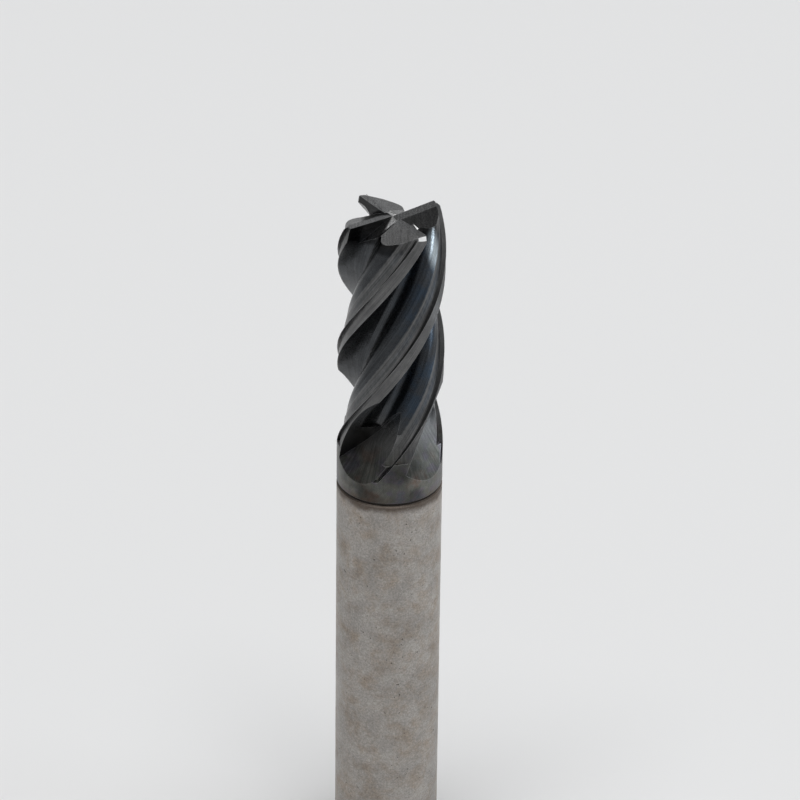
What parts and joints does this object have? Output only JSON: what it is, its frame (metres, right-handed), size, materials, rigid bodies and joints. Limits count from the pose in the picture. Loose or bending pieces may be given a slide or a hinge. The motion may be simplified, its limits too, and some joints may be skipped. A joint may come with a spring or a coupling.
{
  "type": "end mill",
  "caption": "Square end mill with right-hand helical flutes, a centre-cutting end and a plain cylindrical shank, the dark cutting head brazed on a lighter steel shank.",
  "frame": {"origin": "centre of the shank's end face", "axes": "+Z along the tool axis towards the cutting tip; +X towards the right of the picture, -Y towards its camera"},
  "size_m": [0.012, 0.012, 0.083],
  "materials": {
    "coated_carbide": "dark grey-violet hard coating over fine helical and cross grinding, satin",
    "braze": "dull, darkened by heat",
    "shank_steel": "centreless ground, satin, lightly stained"
  },
  "bodies": {
    "root": {"cutting_head": "coated_carbide", "braze_filler": "braze", "shank": "shank_steel"}
  },
  "joints": []
}
